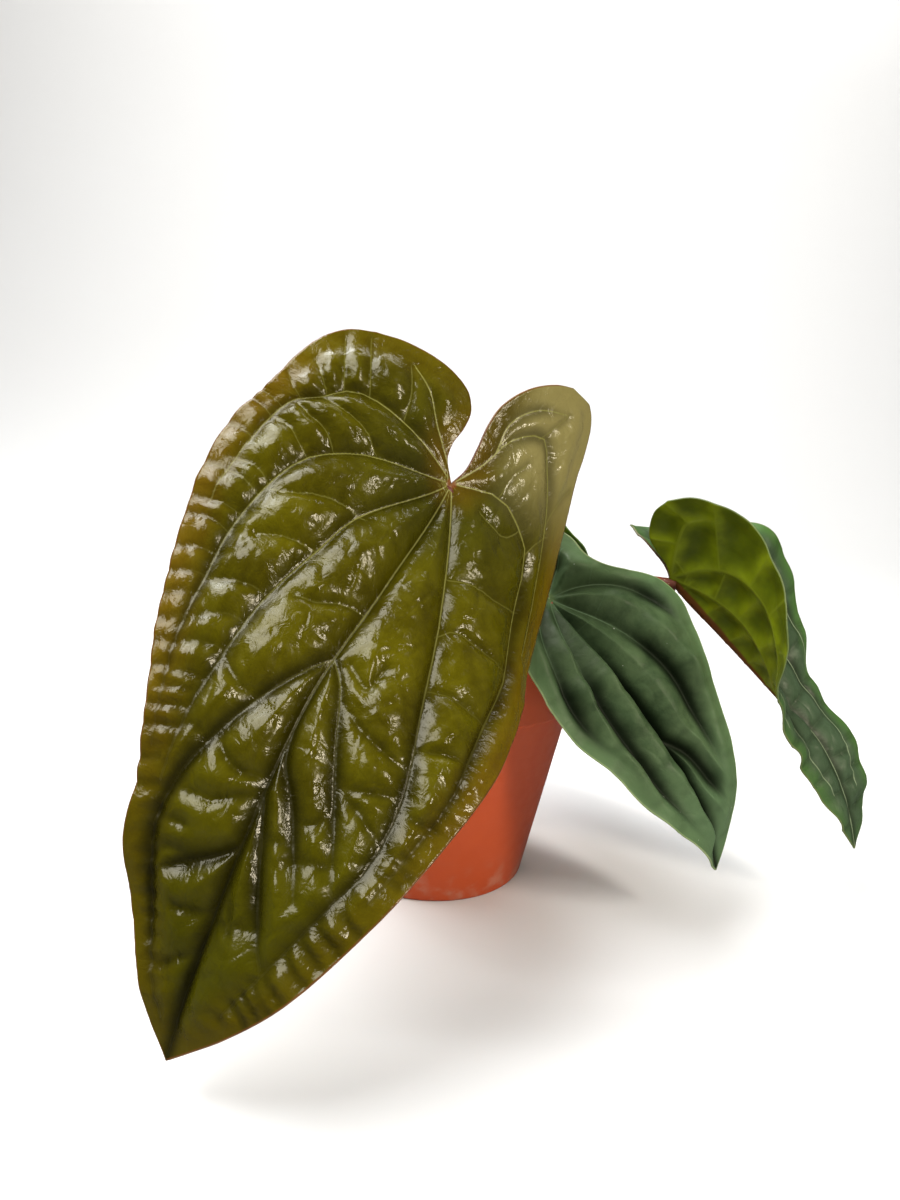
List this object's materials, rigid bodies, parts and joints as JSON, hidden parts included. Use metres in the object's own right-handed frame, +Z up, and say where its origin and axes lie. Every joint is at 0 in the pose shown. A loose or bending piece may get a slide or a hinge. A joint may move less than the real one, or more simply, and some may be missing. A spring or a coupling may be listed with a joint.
{
  "type": "potted anthurium hybrid",
  "caption": "Potted aroid house plant with large quilted heart-shaped leaves hanging on arched stalks over a round nursery pot.",
  "frame": {"origin": "centre of the pot's underside", "axes": "+Z up along the pot's axis, -Y towards the front of the plant"},
  "size_m": [0.2729, 0.2405, 0.2197],
  "materials": {
    "pot_plastic": "satin",
    "potting_mix": "matte",
    "stem": "matte",
    "leaf_bronze": "gloss",
    "leaf_green": "satin",
    "stalk": "satin"
  },
  "bodies": {
    "root": {"pot": "pot_plastic", "potting_mix": "potting_mix", "stem": "stem", "leaf_1": "leaf_bronze", "leaf_2": "leaf_green", "leaf_3": "leaf_green", "leaf_4": "leaf_green", "petiole_1": "stalk", "petiole_2": "stalk", "petiole_3": "stalk", "petiole_4": "stalk"}
  },
  "joints": []
}
